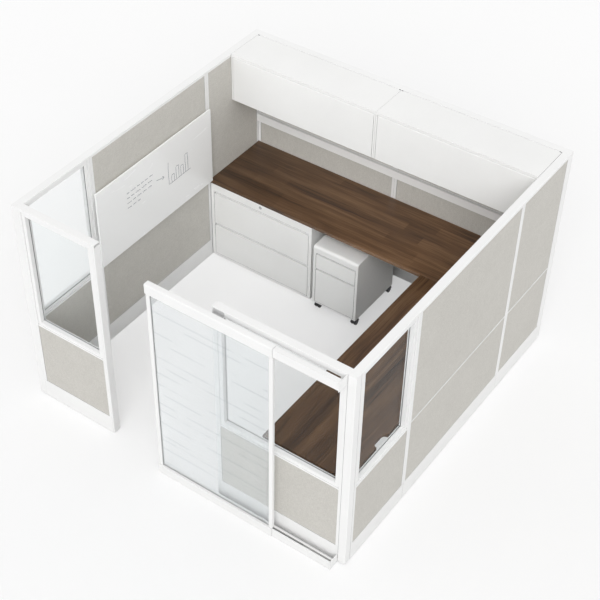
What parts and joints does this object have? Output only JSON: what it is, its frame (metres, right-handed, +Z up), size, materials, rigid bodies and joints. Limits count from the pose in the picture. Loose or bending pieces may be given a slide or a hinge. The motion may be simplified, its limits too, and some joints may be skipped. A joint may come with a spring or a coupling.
{
  "type": "office cubicle workstation",
  "caption": "Square panelled office cubicle with a glazed telescoping sliding door, an L-shaped worksurface, overhead cabinets, a lateral file and a mobile pedestal.",
  "frame": {"origin": "on the floor, under the middle of the whole outline with the door where the picture has it", "axes": "+X to the right along the back wall, +Y from the doorway to the back wall, +Z up"},
  "size_m": [2.548, 2.632, 1.651],
  "materials": {
    "white_metal": "satin powder coat",
    "white_laminate": "white laminate on board, satin",
    "white_plastic": "satin",
    "fabric": "woven panel cloth",
    "clear_glass": "clear, polished",
    "frosted_glass": "frosted with fine etched lines",
    "walnut": "dark wood-grain laminate, satin",
    "steel": "plain steel",
    "grey_metal": "grey powder coat",
    "black_plastic": "matte",
    "board": "gloss enamelled face on a board core",
    "light_grey_metal": "satin powder coat"
  },
  "bodies": {
    "workstation": {"corner_posts": "white_metal", "corner_caps": "white_metal", "frames_left": "white_metal", "frames_back": "white_metal", "frames_right": "white_metal", "frames_front": "white_metal", "tiles_left": "fabric", "tiles_back": "fabric", "tiles_right": "fabric", "tiles_front": "fabric", "base_covers": "white_metal", "top_caps": "white_metal", "end_trims": "white_metal", "window_glass": "clear_glass", "glazing_beads": "white_plastic", "levelling_feet": "steel", "worksurface_main": "walnut", "worksurface_return": "walnut", "worksurface_brackets": "grey_metal", "joining_plate": "grey_metal", "whiteboard": "board", "wall_rail": "white_metal", "rail_cover": "white_metal", "rail_lip": "white_metal", "rail_ends": "white_metal", "overhead_shell_left": "white_laminate", "overhead_shell_right": "white_laminate", "overhead_hooks": "grey_metal", "overhead_pins": "steel", "track_top": "white_metal", "track_floor": "white_metal", "track_mounts": "grey_metal", "track_end_plates": "white_metal", "file_case": "light_grey_metal", "file_feet": "black_plastic", "file_runners": "steel"},
    "door": {"door_rails": "white_metal", "door_stiles": "white_metal", "door_glass": "frosted_glass", "door_guides": "black_plastic"},
    "carriage": {"carriage_top": "light_grey_metal", "carriage_floor": "light_grey_metal"},
    "overhead_door_left": {"overhead_door_left": "white_metal"},
    "overhead_door_right": {"overhead_door_right": "white_metal"},
    "file_drawer_upper": {"file_drawer_upper": "light_grey_metal"},
    "file_drawer_lower": {"file_drawer_lower": "light_grey_metal"},
    "file_lock": {"file_lock": "steel"},
    "pedestal": {"pedestal_case": "light_grey_metal", "pedestal_runners": "steel", "caster_plates": "steel"},
    "pedestal_drawer_upper": {"pedestal_drawer_upper": "light_grey_metal"},
    "pedestal_drawer_lower": {"pedestal_drawer_lower": "light_grey_metal"},
    "caster_front_left": {"caster_yoke_front_left": "black_plastic"},
    "wheels_front_left": {"caster_wheels_front_left": "black_plastic"},
    "caster_front_right": {"caster_yoke_front_right": "black_plastic"},
    "wheels_front_right": {"caster_wheels_front_right": "black_plastic"},
    "caster_back_left": {"caster_yoke_back_left": "black_plastic"},
    "wheels_back_left": {"caster_wheels_back_left": "black_plastic"},
    "caster_back_right": {"caster_yoke_back_right": "black_plastic"},
    "wheels_back_right": {"caster_wheels_back_right": "black_plastic"}
  },
  "joints": [
    {"name": "door_slide", "type": "slide", "parent": "workstation", "child": "door", "axis": [1, 0, 0], "range_m": [-0.469, 0.439]},
    {"name": "carriage_slide", "type": "slide", "parent": "workstation", "child": "carriage", "axis": [1, 0, 0], "range_m": [-0.2345, 0.2197]},
    {"name": "overhead_door_left_hinge", "type": "hinge", "parent": "workstation", "child": "overhead_door_left", "pos_m": [-0.609, 0.945, 1.619], "axis": [-1, 0, 0], "range_deg": [0, 90]},
    {"name": "overhead_door_right_hinge", "type": "hinge", "parent": "workstation", "child": "overhead_door_right", "pos_m": [0.609, 0.945, 1.619], "axis": [-1, 0, 0], "range_deg": [0, 90]},
    {"name": "file_drawer_upper_slide", "type": "slide", "parent": "workstation", "child": "file_drawer_upper", "axis": [0, -1, 0], "range_m": [0, 0.4]},
    {"name": "file_drawer_lower_slide", "type": "slide", "parent": "workstation", "child": "file_drawer_lower", "axis": [0, -1, 0], "range_m": [0, 0.4]},
    {"name": "file_lock_turn", "type": "hinge", "parent": "workstation", "child": "file_lock", "pos_m": [-0.758, 0.655, 0.663], "axis": [0, -1, 0], "range_deg": [0, 90]},
    {"name": "pedestal_roll", "type": "slide", "parent": "workstation", "child": "pedestal", "axis": [0, -1, 0], "range_m": [-0.12, 0.6]},
    {"name": "pedestal_drawer_upper_slide", "type": "slide", "parent": "pedestal", "child": "pedestal_drawer_upper", "axis": [0, -1, 0], "range_m": [0, 0.38]},
    {"name": "pedestal_drawer_lower_slide", "type": "slide", "parent": "pedestal", "child": "pedestal_drawer_lower", "axis": [0, -1, 0], "range_m": [0, 0.38]},
    {"name": "caster_front_left_swivel", "type": "hinge", "parent": "pedestal", "child": "caster_front_left", "pos_m": [-0.207, 0.621, 0.069], "axis": [0, 0, 1], "continuous": true},
    {"name": "wheels_front_left_spin", "type": "hinge", "parent": "caster_front_left", "child": "wheels_front_left", "pos_m": [-0.207, 0.636, 0.025], "axis": [1, 0, 0], "continuous": true},
    {"name": "caster_front_right_swivel", "type": "hinge", "parent": "pedestal", "child": "caster_front_right", "pos_m": [0.114, 0.621, 0.069], "axis": [0, 0, 1], "continuous": true},
    {"name": "wheels_front_right_spin", "type": "hinge", "parent": "caster_front_right", "child": "wheels_front_right", "pos_m": [0.114, 0.636, 0.025], "axis": [1, 0, 0], "continuous": true},
    {"name": "caster_back_left_swivel", "type": "hinge", "parent": "pedestal", "child": "caster_back_left", "pos_m": [-0.207, 1.066, 0.069], "axis": [0, 0, 1], "continuous": true},
    {"name": "wheels_back_left_spin", "type": "hinge", "parent": "caster_back_left", "child": "wheels_back_left", "pos_m": [-0.207, 1.081, 0.025], "axis": [1, 0, 0], "continuous": true},
    {"name": "caster_back_right_swivel", "type": "hinge", "parent": "pedestal", "child": "caster_back_right", "pos_m": [0.114, 1.066, 0.069], "axis": [0, 0, 1], "continuous": true},
    {"name": "wheels_back_right_spin", "type": "hinge", "parent": "caster_back_right", "child": "wheels_back_right", "pos_m": [0.114, 1.081, 0.025], "axis": [1, 0, 0], "continuous": true}
  ],
  "couplings": [
    {"joint": "carriage_slide", "follows": "door_slide", "ratio": 0.5}
  ]
}
